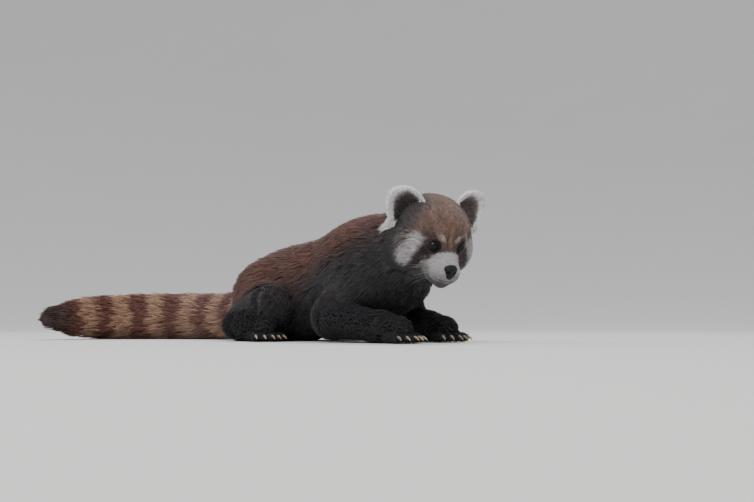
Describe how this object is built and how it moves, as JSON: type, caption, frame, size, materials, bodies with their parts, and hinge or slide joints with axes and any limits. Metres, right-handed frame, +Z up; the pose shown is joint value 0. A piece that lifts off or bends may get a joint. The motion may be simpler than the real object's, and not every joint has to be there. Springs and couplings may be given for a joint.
{
  "type": "red panda",
  "caption": "Life-size still model of a red panda lying propped on its elbows, head turned and lowered, ringed tail laid round on the floor.",
  "frame": {"origin": "middle of the base that the animal lies on, under the middle of its bounding box", "axes": "+Z up, the spine lies along X with the head at +X, the animal's left is +Y"},
  "size_m": [0.802, 0.4362, 0.2275],
  "materials": {
    "head_coat": "short grizzled brown fur with white face markings, rough",
    "ear_coat": "soft white fringe round a dark cup, rough",
    "eye": "wet gloss",
    "nose_pad": "moist fine grained black skin",
    "back_coat": "long rusty red fur, darker below, rough",
    "leg_coat": "short near-black fur, rough",
    "tail_coat": "bushy fur in red and buff rings, rough"
  },
  "bodies": {
    "root": {"head": "head_coat", "ear_right": "ear_coat", "ear_left": "ear_coat", "eye_right": "eye", "eye_left": "eye", "nose": "nose_pad", "neck": "back_coat", "torso": "back_coat", "foreleg_right": "leg_coat", "foreleg_left": "leg_coat", "hindleg_right": "leg_coat", "hindleg_left": "leg_coat", "tail_1": "tail_coat", "tail_2": "tail_coat", "tail_3": "tail_coat", "tail_4": "tail_coat"}
  },
  "joints": []
}
